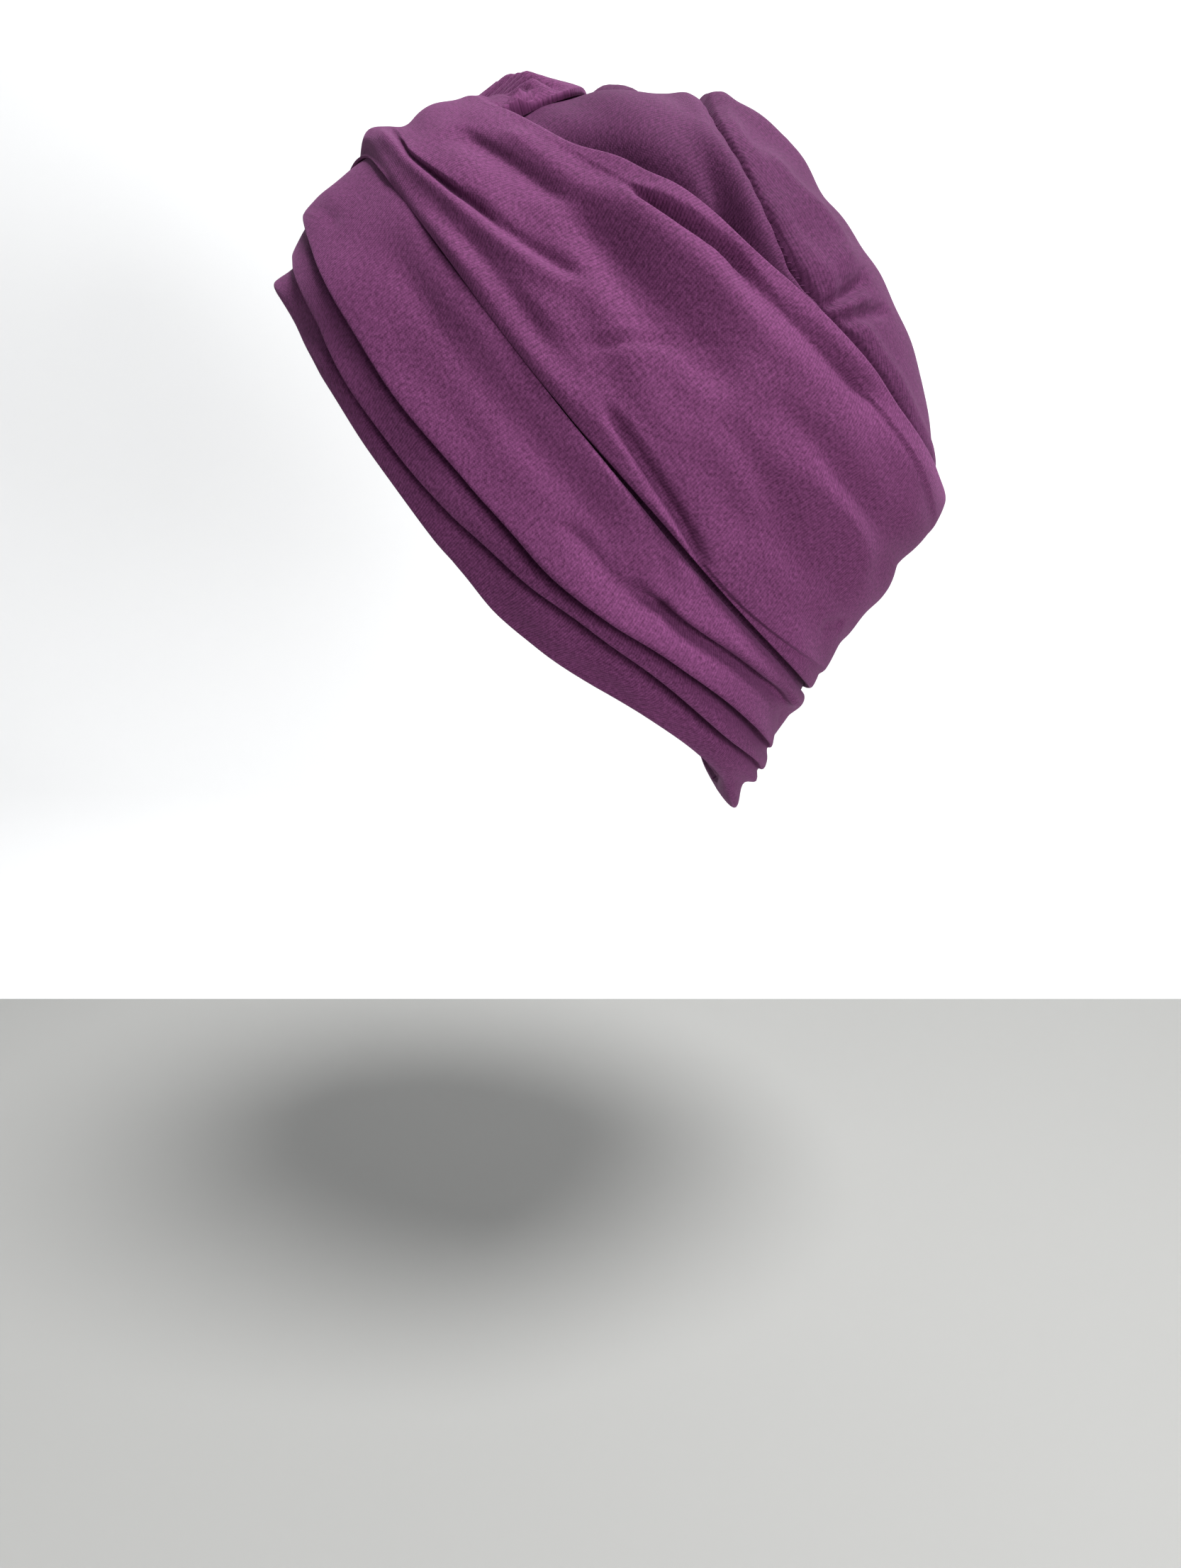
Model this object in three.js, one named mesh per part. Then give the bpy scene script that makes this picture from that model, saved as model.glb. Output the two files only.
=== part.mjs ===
// A draped jersey beanie: a cap of three pieces with two pleated wraps that cross over the forehead.
// Millimetres.  The hat is worked out upright, with its opening in the plane z = 0, its front toward -Y
// and the wearer's left toward +X, and is then tipped back the way it sits on a head.
import * as THREE from 'three';

// Driving sizes
const wornTilt = 48.2;            // degrees that the opening leans back, forehead high and nape low
const centreHeight = 48;          // from the opening's plane up to the point that all radii start at
const halfWidth = 83;             // of the bare cap at its widest
const roundness = 2.25;           // power of the sections across the cap, 2 is an ellipse
const capWall = 1.2;
const hemWall = 1.6;
const wrapWall = 1.3;             // two layers of thin jersey
const clearance = 0.35;           // left between pieces
const crossingGap = 0.7;          // left between the wraps where one passes over the other
const backGap = 0.5;              // half the slit between the wraps at the centre back
const padFade = { turn: 44, rise: 6 };    // degrees over which the over wrap comes down beside the under wrap
const padReach = { turn: 3, rise: 1.5 };  // degrees around a place that the over wrap clears

// Side view of the bare cap: radius from the centre, by the angle from the front of the opening's plane
const profile = [
  { angle: -90, radius: 98.4 },
  { angle: -60, radius: 102.7 },
  { angle: -25, radius: 107 },
  { angle: 0, radius: 104.3 },
  { angle: 22, radius: 99.5 },
  { angle: 42, radius: 99.7 },
  { angle: 62, radius: 101 },
  { angle: 85, radius: 96.4 },
  { angle: 105, radius: 97 },
  { angle: 125, radius: 101.2 },
  { angle: 142, radius: 105 },
  { angle: 160, radius: 98.4 },
  { angle: 178, radius: 100.6 },
  { angle: 187, radius: 107.5 },
  { angle: 195, radius: 114 },
  { angle: 203, radius: 120 },
  { angle: 212, radius: 122 },
  { angle: 226, radius: 115 },
  { angle: 246, radius: 104.5 },
  { angle: 270, radius: 98.4 },
];

// Edge of the head opening: it dips over the ears and rises at the forehead and nape
const rim = [
  { turn: 0, rise: -24.3 },
  { turn: 17, rise: -24.8 },
  { turn: 29, rise: -27 },
  { turn: 45, rise: -30.7 },
  { turn: 63, rise: -35.2 },
  { turn: 84, rise: -39.4 },
  { turn: 105, rise: -39 },
  { turn: 126, rise: -33.3 },
  { turn: 146, rise: -25 },
  { turn: 163, rise: -23.5 },
  { turn: 180, rise: -23.6 },
];
const hemDepth = 9;               // degrees of rise from the rim to the joint with the side panel

// Seam between the top panel and the side panel
const seam = [
  { turn: 0, rise: 52 },
  { turn: 34, rise: 51.6 },
  { turn: 58, rise: 46.2 },
  { turn: 70, rise: 44.7 },
  { turn: 85, rise: 42.3 },
  { turn: 100, rise: 40 },
  { turn: 120, rise: 40.2 },
  { turn: 150, rise: 37.5 },
  { turn: 180, rise: 36.5 },
];

// A wrap's upper run, from the centre back up one side.  Each row is a section: its lower and upper edge
// and two folds between them, as rises, then how far the cloth and the folds stand off, in millimetres.
const upperRun = [
  { turn: 180, lower: -2.6, low: 3, high: 27.5, upper: 32.5, lift: 0.6, lowStep: 0.6, highStep: 0.6 },
  { turn: 166, lower: -3.1, low: 1.6, high: 28.4, upper: 33, lift: 3.2, lowStep: 2, highStep: 1.5 },
  { turn: 150, lower: -4.2, low: -0.6, high: 29.2, upper: 33.6, lift: 3.4, lowStep: 2.4, highStep: 1.6 },
  { turn: 130, lower: -6.3, low: -3.4, high: 30.4, upper: 34.6, lift: 3, lowStep: 2.6, highStep: 1.8 },
  { turn: 110, lower: -7.7, low: -5, high: 31.4, upper: 35.3, lift: 2.6, lowStep: 2.4, highStep: 2.2 },
  { turn: 95, lower: -8.3, low: -5, high: 29.4, upper: 32.9, lift: 2.8, lowStep: 1.2, highStep: 2.2 },
  { turn: 80, lower: -8, low: -3.4, high: 23.8, upper: 27.8, lift: 3.2, lowStep: 0.8, highStep: 1.8 },
  { turn: 60, lower: -6.2, low: 1.2, high: 15.5, upper: 21, lift: 4, lowStep: 1.6, highStep: 2 },
  { turn: 45, lower: -4.2, low: 3.4, high: 13, upper: 19.5, lift: 4.6, lowStep: 3.8, highStep: 3 },
  { turn: 31, lower: -2.6, low: 3, high: 10.4, upper: 16.6, lift: 5, lowStep: 5.2, highStep: 3.6 },
];

// Its lower run, from the crossing around the other side to the centre back
const lowerRun = [
  { turn: 29, lower: -27.3, low: -23, high: -18, upper: -3.2, lift: 2.8, lowStep: 3, highStep: 3.2 },
  { turn: 45, lower: -31, low: -28, high: -22, upper: -5, lift: 2.8, lowStep: 3, highStep: 3.2 },
  { turn: 63, lower: -35.6, low: -32.3, high: -26.2, upper: -7.3, lift: 2.8, lowStep: 3, highStep: 3.2 },
  { turn: 84, lower: -39.8, low: -33.2, high: -27.8, upper: -9.1, lift: 2.8, lowStep: 3.2, highStep: 3.4 },
  { turn: 105, lower: -39.4, low: -29.8, high: -26.8, upper: -8.7, lift: 2.8, lowStep: 3.4, highStep: 3.6 },
  { turn: 126, lower: -33.2, low: -24.3, high: -20.3, upper: -7.3, lift: 3.2, lowStep: 3.4, highStep: 3.6 },
  { turn: 146, lower: -23.8, low: -19, high: -15.2, upper: -5.2, lift: 3.8, lowStep: 4, highStep: 4 },
  { turn: 166, lower: -21.9, low: -17.2, high: -13.6, upper: -4.1, lift: 3.8, lowStep: 4, highStep: 4 },
  { turn: 180, lower: -21.4, low: -16.6, high: -13.2, upper: -3.6, lift: 0.6, lowStep: 0.6, highStep: 0.6 },
];

// Where each wrap crosses the forehead, in the order that it runs.  Turns are positive on its first side.
const overCrossing = [
  { turn: 18, lower: -4.6, low: -0.2, high: 7, upper: 11.6, lift: 5, lowStep: 5, highStep: 4 },
  { turn: 0, lower: -13.5, low: -9, high: -1.5, upper: 5, lift: 4, lowStep: 3.4, highStep: 3 },
  { turn: -14, lower: -23.5, low: -18, high: -10, upper: 0.6, lift: 3, lowStep: 2.4, highStep: 2.4 },
];
const underCrossing = [
  { turn: 18, lower: -9, low: 6, high: 24, upper: 36, lift: 4.4, lowStep: 0.4, highStep: 1.4 },
  { turn: 9, lower: -20, low: -5, high: 17, upper: 36, lift: 3.4, lowStep: 0.4, highStep: 0.8 },
  { turn: 0, lower: -25, low: -13, high: 10, upper: 35, lift: 2.6, lowStep: 0.4, highStep: 0.6 },
  { turn: -14, lower: -25.4, low: -19.5, high: -12, upper: 24, lift: 2.2, lowStep: 1.8, highStep: 1.6 },
  { turn: -21, lower: -26, low: -21, high: -15.8, upper: 10, lift: 2.4, lowStep: 2.2, highStep: 2.2 },
];

// The under wrap's upper edge spreads into gathers above the crossing, ridges that run toward the forehead
const gatheredEdge = { 80: 29, 60: 30, 45: 33.5, 31: 36 };
const gathers = { count: 4, turn: 24, reach: 30, height: 4 };

// That edge then turns down steeply under the over wrap, and lies a little off the cap there
const hiddenEdge = { turn: -22, reach: 9, lift: 0.7 };

// Humps and hollows of the cap above the wraps
const capFolds = [
  { turn: 52, rise: 35, turnReach: 20, riseReach: 9, height: 4 },
  { turn: -52, rise: 35, turnReach: 20, riseReach: 9, height: 4 },
  { turn: 22, rise: 50, turnReach: 10, riseReach: 16, height: -3.5 },
  { turn: -22, rise: 50, turnReach: 10, riseReach: 16, height: -3.5 },
  { turn: 92, rise: 52, turnReach: 26, riseReach: 8, height: 2 },
  { turn: -92, rise: 52, turnReach: 26, riseReach: 8, height: 2 },
];

// Mesh steps
const turnsAround = 48;
const topRings = 7;
const sideRings = 6;
const wrapSections = 50;
const wrapSteps = [4, 4, 12];     // from the lower edge to the low fold, to the high fold, to the upper edge
const crowding = [1.5, 1.5, 1];   // above 1, the steps of that part crowd toward the fold at its end

const radians = THREE.MathUtils.degToRad;
const degrees = THREE.MathUtils.radToDeg;

// Smooth value of one column at a place between the rows of a table
function lookUp(rows, key, column, at) {
  const last = rows.length - 1;
  const forward = rows[last][key] > rows[0][key];
  const x = (i) => (forward ? rows[i][key] : -rows[i][key]);
  const y = (i) => rows[i][column];
  const place = THREE.MathUtils.clamp(forward ? at : -at, x(0), x(last));
  let i = 0;
  while (i < last - 1 && place > x(i + 1)) i += 1;
  const slope = (k) => {
    const before = Math.max(k - 1, 0);
    const after = Math.min(k + 1, last);
    return (y(after) - y(before)) / (x(after) - x(before));
  };
  const span = x(i + 1) - x(i);
  const t = (place - x(i)) / span;
  const bend = t * t * (3 - 2 * t);
  const startPull = t * (1 - t) * (1 - t) * span * slope(i);
  const endPull = t * t * (t - 1) * span * slope(i + 1);
  return y(i) * (1 - bend) + y(i + 1) * bend + startPull + endPull;
}

const bump = (distance, reach) => Math.exp(-((distance / reach) ** 2));
const turnBetween = (a, b) => Math.abs(((a - b + 540) % 360) - 180);

function direction(turn, rise) {
  const across = Math.cos(radians(rise));
  return new THREE.Vector3(
    Math.sin(radians(turn)) * across,
    -Math.cos(radians(turn)) * across,
    Math.sin(radians(rise)),
  );
}

// Radius of the bare cap's outer face
function capRadius(turn, rise) {
  const way = direction(turn, rise);
  let angle = degrees(Math.atan2(way.z, -way.y));
  if (angle < -90) angle += 360;
  const along = Math.hypot(way.y, way.z) / lookUp(profile, 'angle', 'radius', angle);
  const aside = Math.abs(way.x) / halfWidth;
  return (along ** roundness + aside ** roundness) ** (-1 / roundness);
}

function capFold(turn, rise) {
  let height = 0;
  for (const fold of capFolds) {
    const sideways = turnBetween(turn, fold.turn) * Math.cos(radians(rise));
    const reach = fold.turnReach * Math.cos(radians(fold.rise));
    height += fold.height * bump(sideways, reach) * bump(rise - fold.rise, fold.riseReach);
  }
  return height;
}

function pointAt(turn, rise, lift) {
  const point = direction(turn, rise).multiplyScalar(capRadius(turn, rise) + lift);
  point.z += centreHeight;
  return point;
}

const rimRise = (turn) => lookUp(rim, 'turn', 'rise', turnBetween(turn, 0));
const seamRise = (turn) => lookUp(seam, 'turn', 'rise', turnBetween(turn, 0));
const jointRise = (turn) => rimRise(turn) + hemDepth;

// Closed wall from an outer and an inner grid of points with the same rows and columns
function wall(outer, inner, ring) {
  const rows = outer.length;
  const columns = outer[0].length;
  const positions = [];
  for (const row of [...outer, ...inner]) {
    for (const point of row) positions.push(point.x, point.y, point.z);
  }
  const out = (r, c) => r * columns + (c % columns);
  const back = (r, c) => rows * columns + out(r, c);
  const faces = [];
  const quad = (a, b, c, d) => faces.push(a, b, c, a, c, d);
  const lastColumn = ring ? columns : columns - 1;
  for (let r = 0; r < rows - 1; r += 1) {
    for (let c = 0; c < lastColumn; c += 1) {
      quad(out(r, c), out(r, c + 1), out(r + 1, c + 1), out(r + 1, c));
      quad(back(r, c), back(r + 1, c), back(r + 1, c + 1), back(r, c + 1));
    }
  }
  for (let c = 0; c < lastColumn; c += 1) {
    quad(out(0, c), back(0, c), back(0, c + 1), out(0, c + 1));
    quad(out(rows - 1, c), out(rows - 1, c + 1), back(rows - 1, c + 1), back(rows - 1, c));
  }
  if (!ring) {
    for (let r = 0; r < rows - 1; r += 1) {
      quad(out(r, 0), out(r + 1, 0), back(r + 1, 0), back(r, 0));
      quad(out(r, columns - 1), back(r, columns - 1), back(r + 1, columns - 1), out(r + 1, columns - 1));
    }
  }
  const geometry = new THREE.BufferGeometry();
  geometry.setAttribute('position', new THREE.Float32BufferAttribute(positions, 3));
  geometry.setIndex(faces);
  geometry.computeVertexNormals();
  return geometry;
}

// Ring of the cap between two rises, each a function of the turn
function capRing(riseFrom, riseTo, rings, thickness) {
  const outer = [];
  const inner = [];
  for (let r = 0; r <= rings; r += 1) {
    const outerRow = [];
    const innerRow = [];
    for (let c = 0; c < turnsAround; c += 1) {
      const turn = (360 * c) / turnsAround;
      const rise = THREE.MathUtils.lerp(riseFrom(turn), riseTo(turn), r / rings);
      const lift = capFold(turn, rise);
      outerRow.push(pointAt(turn, rise, lift));
      innerRow.push(pointAt(turn, rise, lift - thickness));
    }
    outer.push(outerRow);
    inner.push(innerRow);
  }
  return wall(outer, inner, true);
}

// Top panel: rings that close on one point each, outside and inside
function topPanel() {
  const positions = [];
  const faces = [];
  const rings = [];
  const seamGap = clearance / 2;
  for (const depth of [0, capWall]) {
    for (let r = 0; r < topRings; r += 1) {
      const ring = [];
      for (let c = 0; c < turnsAround; c += 1) {
        const turn = (360 * c) / turnsAround;
        const rise = THREE.MathUtils.lerp(seamRise(turn) + seamGap, 90, r / topRings);
        const point = pointAt(turn, rise, capFold(turn, rise) - depth);
        ring.push(positions.length / 3);
        positions.push(point.x, point.y, point.z);
      }
      rings.push(ring);
    }
  }
  const poles = [];
  for (const depth of [0, capWall]) {
    const point = pointAt(0, 90, capFold(0, 90) - depth);
    poles.push(positions.length / 3);
    positions.push(point.x, point.y, point.z);
  }
  const next = (c) => (c + 1) % turnsAround;
  const quad = (a, b, c, d) => faces.push(a, b, c, a, c, d);
  for (let c = 0; c < turnsAround; c += 1) {
    for (let r = 0; r < topRings - 1; r += 1) {
      const outerLow = rings[r];
      const outerHigh = rings[r + 1];
      const innerLow = rings[topRings + r];
      const innerHigh = rings[topRings + r + 1];
      quad(outerLow[c], outerLow[next(c)], outerHigh[next(c)], outerHigh[c]);
      quad(innerLow[c], innerHigh[c], innerHigh[next(c)], innerLow[next(c)]);
    }
    const outerLast = rings[topRings - 1];
    const innerLast = rings[2 * topRings - 1];
    faces.push(outerLast[c], outerLast[next(c)], poles[0]);
    faces.push(innerLast[next(c)], innerLast[c], poles[1]);
    quad(rings[0][c], rings[topRings][c], rings[topRings][next(c)], rings[0][next(c)]);
  }
  const geometry = new THREE.BufferGeometry();
  geometry.setAttribute('position', new THREE.Float32BufferAttribute(positions, 3));
  geometry.setIndex(faces);
  geometry.computeVertexNormals();
  return geometry;
}

// Rows of a whole wrap, from its upper run over its crossing to its lower run
function wrapRows(firstRun, crossing) {
  return [...firstRun, ...crossing, ...lowerRun.map((row) => ({ ...row, turn: -row.turn }))];
}

const gatheredRun = upperRun.map((row) => ({ ...row, upper: gatheredEdge[row.turn] ?? row.upper }));
const overRows = wrapRows(upperRun, overCrossing);
const underRows = wrapRows(gatheredRun, underCrossing);

function wrapSection(rows, turn) {
  const section = {};
  for (const column of ['lower', 'low', 'high', 'upper', 'lift', 'lowStep', 'highStep']) {
    section[column] = lookUp(rows, 'turn', column, turn);
  }
  return section;
}

// A fold's cross-section: a gentle slope above its crest and a steep drop below it
function foldShape(rise, crest, radius) {
  const distance = radians(rise - crest) * radius;
  return distance > 0 ? bump(distance, 9) : bump(distance, 2.6);
}

// Ridges side by side between the high fold and the upper edge
function gatherLift(section, turn, rise) {
  const share = (rise - section.high) / (section.upper - section.high);
  if (share < 0 || share > 1) return 0;
  const fade = bump(turn - gathers.turn, gathers.reach);
  return gathers.height * fade * Math.sin(Math.PI * gathers.count * share) ** 2;
}

// Stand-off of a wrap's inner face from the bare cap, before it clears anything below it
function wrapLift(rows, turn, rise, gathered) {
  const section = wrapSection(rows, turn);
  const radius = capRadius(turn, rise);
  const share = THREE.MathUtils.clamp((rise - section.lower) / (section.upper - section.lower), 0, 1);
  const tuck = 1 - Math.abs(2 * share - 1) ** 8;
  let lift = clearance + section.lift * tuck + Math.max(capFold(turn, rise), 0);
  lift += section.lowStep * foldShape(rise, section.low, radius) * tuck;
  lift += section.highStep * foldShape(rise, section.high, radius) * tuck;
  if (gathered) {
    lift += gatherLift(section, turn, rise);
    lift += hiddenEdge.lift * bump(turn - hiddenEdge.turn, hiddenEdge.reach);
  }
  return lift;
}

// Height that the over wrap keeps where the under wrap lies below it
function underTop(turn, rise) {
  const mirrored = -turn;
  const section = wrapSection(underRows, mirrored);
  const outside = Math.max(section.lower - rise, rise - section.upper, 0);
  if (outside > padFade.rise) return 0;
  const inside = THREE.MathUtils.clamp(rise, section.lower, section.upper);
  const top = wrapLift(underRows, mirrored, inside, true) + wrapWall + crossingGap;
  const riseShare = THREE.MathUtils.smoothstep(padFade.rise - outside, 0, padFade.rise / 2);
  return top * riseShare * THREE.MathUtils.smoothstep(padFade.turn - Math.abs(turn), 0, padFade.turn / 4);
}

// The same height, kept over the facets around a place and not only at it
function padAround(turn, rise) {
  let height = 0;
  for (const turnStep of [-1, 0, 1]) {
    for (const riseStep of [-1, 0, 1]) {
      height = Math.max(height, underTop(turn + turnStep * padReach.turn, rise + riseStep * padReach.rise));
    }
  }
  return height;
}

// One wrap: sections from the centre back over the forehead to the centre back again
function wrap(rows, side, over) {
  const outer = [];
  const inner = [];
  const endTurn = 180 - degrees(backGap / profile[13].radius);
  for (let s = 0; s <= wrapSections; s += 1) {
    const turn = THREE.MathUtils.lerp(endTurn, -endTurn, s / wrapSections);
    const section = wrapSection(rows, turn);
    const stops = [section.lower, section.low, section.high, section.upper];
    const outerColumn = [];
    const innerColumn = [];
    wrapSteps.forEach((steps, part) => {
      for (let k = part === 0 ? 0 : 1; k <= steps; k += 1) {
        const share = 1 - (1 - k / steps) ** crowding[part];
        const rise = THREE.MathUtils.lerp(stops[part], stops[part + 1], share);
        let lift = wrapLift(rows, turn, rise, !over);
        if (over && Math.abs(turn) < padFade.turn) lift = Math.max(lift, padAround(turn, rise));
        outerColumn.push(pointAt(side * turn, rise, lift + wrapWall));
        innerColumn.push(pointAt(side * turn, rise, lift));
      }
    });
    outer.push(outerColumn);
    inner.push(innerColumn);
  }
  if (side < 0) {
    outer.reverse();
    inner.reverse();
  }
  return wall(outer, inner, false);
}

function jersey(colour, roughness) {
  return new THREE.MeshStandardMaterial({ color: colour, roughness, metalness: 0 });
}

const group = new THREE.Group();
group.rotation.x = -radians(wornTilt);

function addPiece(name, geometry, material) {
  const mesh = new THREE.Mesh(geometry, material);
  mesh.name = name;
  group.add(mesh);
}

const halfGap = clearance / 2;
addPiece('crown_top', topPanel(), jersey(0x5c2a52, 0.85));
addPiece(
  'crown_side',
  capRing((turn) => jointRise(turn) + halfGap, (turn) => seamRise(turn) - halfGap, sideRings, capWall),
  jersey(0x582850, 0.85),
);
addPiece(
  'hem_band',
  capRing(rimRise, (turn) => jointRise(turn) - halfGap, 2, hemWall),
  jersey(0x4e2346, 0.88),
);
addPiece('wrap_left', wrap(overRows, 1, true), jersey(0x65305b, 0.82));
addPiece('wrap_right', wrap(underRows, -1, false), jersey(0x612d57, 0.82));

export default group;
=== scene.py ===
import bpy
import numpy as np
from math import cos, pi, radians, sin
from mathutils import Matrix, Vector


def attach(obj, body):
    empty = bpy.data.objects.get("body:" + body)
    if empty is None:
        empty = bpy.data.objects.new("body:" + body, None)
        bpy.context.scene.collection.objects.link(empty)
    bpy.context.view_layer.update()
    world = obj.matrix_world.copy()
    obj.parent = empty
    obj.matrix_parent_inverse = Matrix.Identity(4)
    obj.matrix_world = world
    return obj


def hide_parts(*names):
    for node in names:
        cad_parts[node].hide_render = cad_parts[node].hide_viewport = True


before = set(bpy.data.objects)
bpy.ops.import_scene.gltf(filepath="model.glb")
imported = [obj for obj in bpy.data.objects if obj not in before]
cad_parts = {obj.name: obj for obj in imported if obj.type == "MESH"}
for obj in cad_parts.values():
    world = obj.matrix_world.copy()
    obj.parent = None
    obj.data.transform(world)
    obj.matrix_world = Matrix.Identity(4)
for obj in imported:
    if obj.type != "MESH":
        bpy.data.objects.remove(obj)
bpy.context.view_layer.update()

mm = 0.001
meanRadius = 100      # millimetres, for lengths that need no more than a rough radius
jointGap = 0.1        # degrees left on each side of a joint between panels

# The bare cap, in millimetres and degrees, with the same sizes as the solids.
# A turn is 0 at the front, 90 at the wearer's left and 180 at the nape; a rise goes up to 90 at the crown.
hatForm = {
    "wornTilt": 48.2,      # the opening leans back this much
    "centreHeight": 48.0,
    "halfWidth": 83.0,
    "roundness": 2.25,
    "hemDepth": 9.0,       # degrees from the rim to the joint with the side panel
    "clearance": 0.35,
    "profile": [           # angle in the side view, radius
        (-90, 98.4), (-60, 102.7), (-25, 107.0), (0, 104.3), (22, 99.5), (42, 99.7), (62, 101.0),
        (85, 96.4), (105, 97.0), (125, 101.2), (142, 105.0), (160, 98.4), (178, 100.6), (187, 107.5),
        (195, 114.0), (203, 120.0), (212, 122.0), (226, 115.0), (246, 104.5), (270, 98.4)],
    "rim": [               # turn, rise
        (0, -24.3), (17, -24.8), (29, -27.0), (45, -30.7), (63, -35.2), (84, -39.4), (105, -39.0),
        (126, -33.3), (146, -25.0), (163, -23.5), (180, -23.6)],
    "seam": [
        (0, 52.0), (34, 51.6), (58, 46.2), (70, 44.7), (85, 42.3), (100, 40.0), (120, 40.2), (150, 37.5),
        (180, 36.5)],
    "humps": [             # turn, rise, reach around, reach up, height
        (52, 35, 20, 9, 4.0), (-52, 35, 20, 9, 4.0), (22, 50, 10, 16, -3.5), (-22, 50, 10, 16, -3.5),
        (92, 52, 26, 8, 2.0), (-92, 52, 26, 8, 2.0)],
}


def smoothAt(places, values, at):
    # a smooth curve through the values, level past both ends
    x, y = np.array(places, float), np.array(values, float)
    if x[0] > x[-1]:
        x, y = x[::-1], y[::-1]
    slope = np.empty_like(y)
    slope[1:-1] = (y[2:] - y[:-2]) / (x[2:] - x[:-2])
    slope[0] = (y[1] - y[0]) / (x[1] - x[0])
    slope[-1] = (y[-1] - y[-2]) / (x[-1] - x[-2])
    at = np.clip(at, x[0], x[-1])
    i = np.clip(np.searchsorted(x, at) - 1, 0, len(x) - 2)
    span = x[i + 1] - x[i]
    t = (at - x[i]) / span
    bend = t * t * (3 - 2 * t)
    pull = t * (1 - t) ** 2 * span * slope[i] + t * t * (t - 1) * span * slope[i + 1]
    return y[i] * (1 - bend) + y[i + 1] * bend + pull


def rowsAt(rows, at):
    return smoothAt([r[0] for r in rows], [r[1] for r in rows], at)


def bump(distance, reach):
    return np.exp(-(distance / reach) ** 2)


def ease(value, start, end):
    t = np.clip((value - start) / (end - start), 0, 1)
    return t * t * (3 - 2 * t)


def turnApart(a, b):
    return np.abs((a - b + 540) % 360 - 180)


def wayOut(turn, rise):
    t, r = np.radians(turn), np.radians(rise)
    return np.stack(np.broadcast_arrays(np.sin(t) * np.cos(r), -np.cos(t) * np.cos(r), np.sin(r)), -1)


def capRadius(turn, rise):
    way = wayOut(turn, rise)
    angle = np.degrees(np.arctan2(way[..., 2], -way[..., 1]))
    angle = np.where(angle < -90, angle + 360, angle)
    along = np.hypot(way[..., 1], way[..., 2]) / rowsAt(hatForm["profile"], angle)
    aside = np.abs(way[..., 0]) / hatForm["halfWidth"]
    power = hatForm["roundness"]
    return (along ** power + aside ** power) ** (-1 / power)


def humpLift(turn, rise):
    total = 0
    for place, height, aroundReach, upReach, lift in hatForm["humps"]:
        sideways = turnApart(turn, place) * np.cos(np.radians(rise))
        around = bump(sideways, aroundReach * cos(radians(height)))
        total = total + lift * around * bump(rise - height, upReach)
    return total


def pointAt(turn, rise, lift):
    # metres, in the worn pose
    point = wayOut(turn, rise) * (capRadius(turn, rise) + lift)[..., None]
    tilt = radians(hatForm["wornTilt"])
    y, z = point[..., 1], point[..., 2] + hatForm["centreHeight"]
    return np.stack([point[..., 0], y * cos(tilt) + z * sin(tilt), z * cos(tilt) - y * sin(tilt)], -1) * mm


def rimRise(turn):
    return rowsAt(hatForm["rim"], turnApart(turn, 0))


def seamRise(turn):
    return rowsAt(hatForm["seam"], turnApart(turn, 0))


def arcBetween(turn, rise, other):
    # millimetres along the cap from one rise up to another
    return np.radians(rise - other) * capRadius(turn, rise)


def ripples(along, across, seed, longWave=(45, 110), shortWave=(12, 26), count=16):
    # soft uneven lie of the cloth, about 1 high
    chance = np.random.default_rng(seed)
    total = 0
    for _ in range(count):
        a = 2 * pi / chance.uniform(*longWave) * chance.choice([-1, 1])
        b = 2 * pi / chance.uniform(*shortWave)
        total = total + np.sin(a * along + b * across + chance.uniform(0, 2 * pi))
    return total / (count / 2) ** 0.5


creaseEnd = 0.3       # share of a crease over which each end fades


def wrinkleLift(turn, rise, wrinkles):
    # small creases along free paths: ((turn, rise), ...), height, width
    spot = wayOut(turn, rise) * meanRadius
    total = np.zeros(np.shape(spot)[:-1])
    for path, height, width in wrinkles:
        path = np.array(path, float)
        knots = wayOut(path[:, 0], path[:, 1]) * meanRadius
        best = np.full(total.shape, np.inf)
        where = np.zeros(total.shape)
        for k in range(len(knots) - 1):
            leg = knots[k + 1] - knots[k]
            t = np.clip(((spot - knots[k]) @ leg) / (leg @ leg), 0, 1)
            away = np.linalg.norm(spot - knots[k] - t[..., None] * leg, axis=-1)
            nearer = away < best
            best = np.where(nearer, away, best)
            where = np.where(nearer, (k + t) / (len(knots) - 1), where)
        ends = ease(where, 0, creaseEnd) * ease(1 - where, 0, creaseEnd)
        total = total + height * bump(best, width) * ends
    return total


def gridFaces(grid, flip):
    a, b, c, d = grid[:-1, :-1], grid[:-1, 1:], grid[1:, 1:], grid[1:, :-1]
    return np.stack([k.reshape(-1) for k in ((a, d, c, b) if flip else (a, b, c, d))], 1)


innerMapShift = (0, 0.4)     # the inner face shows another stretch of the cloth


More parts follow.
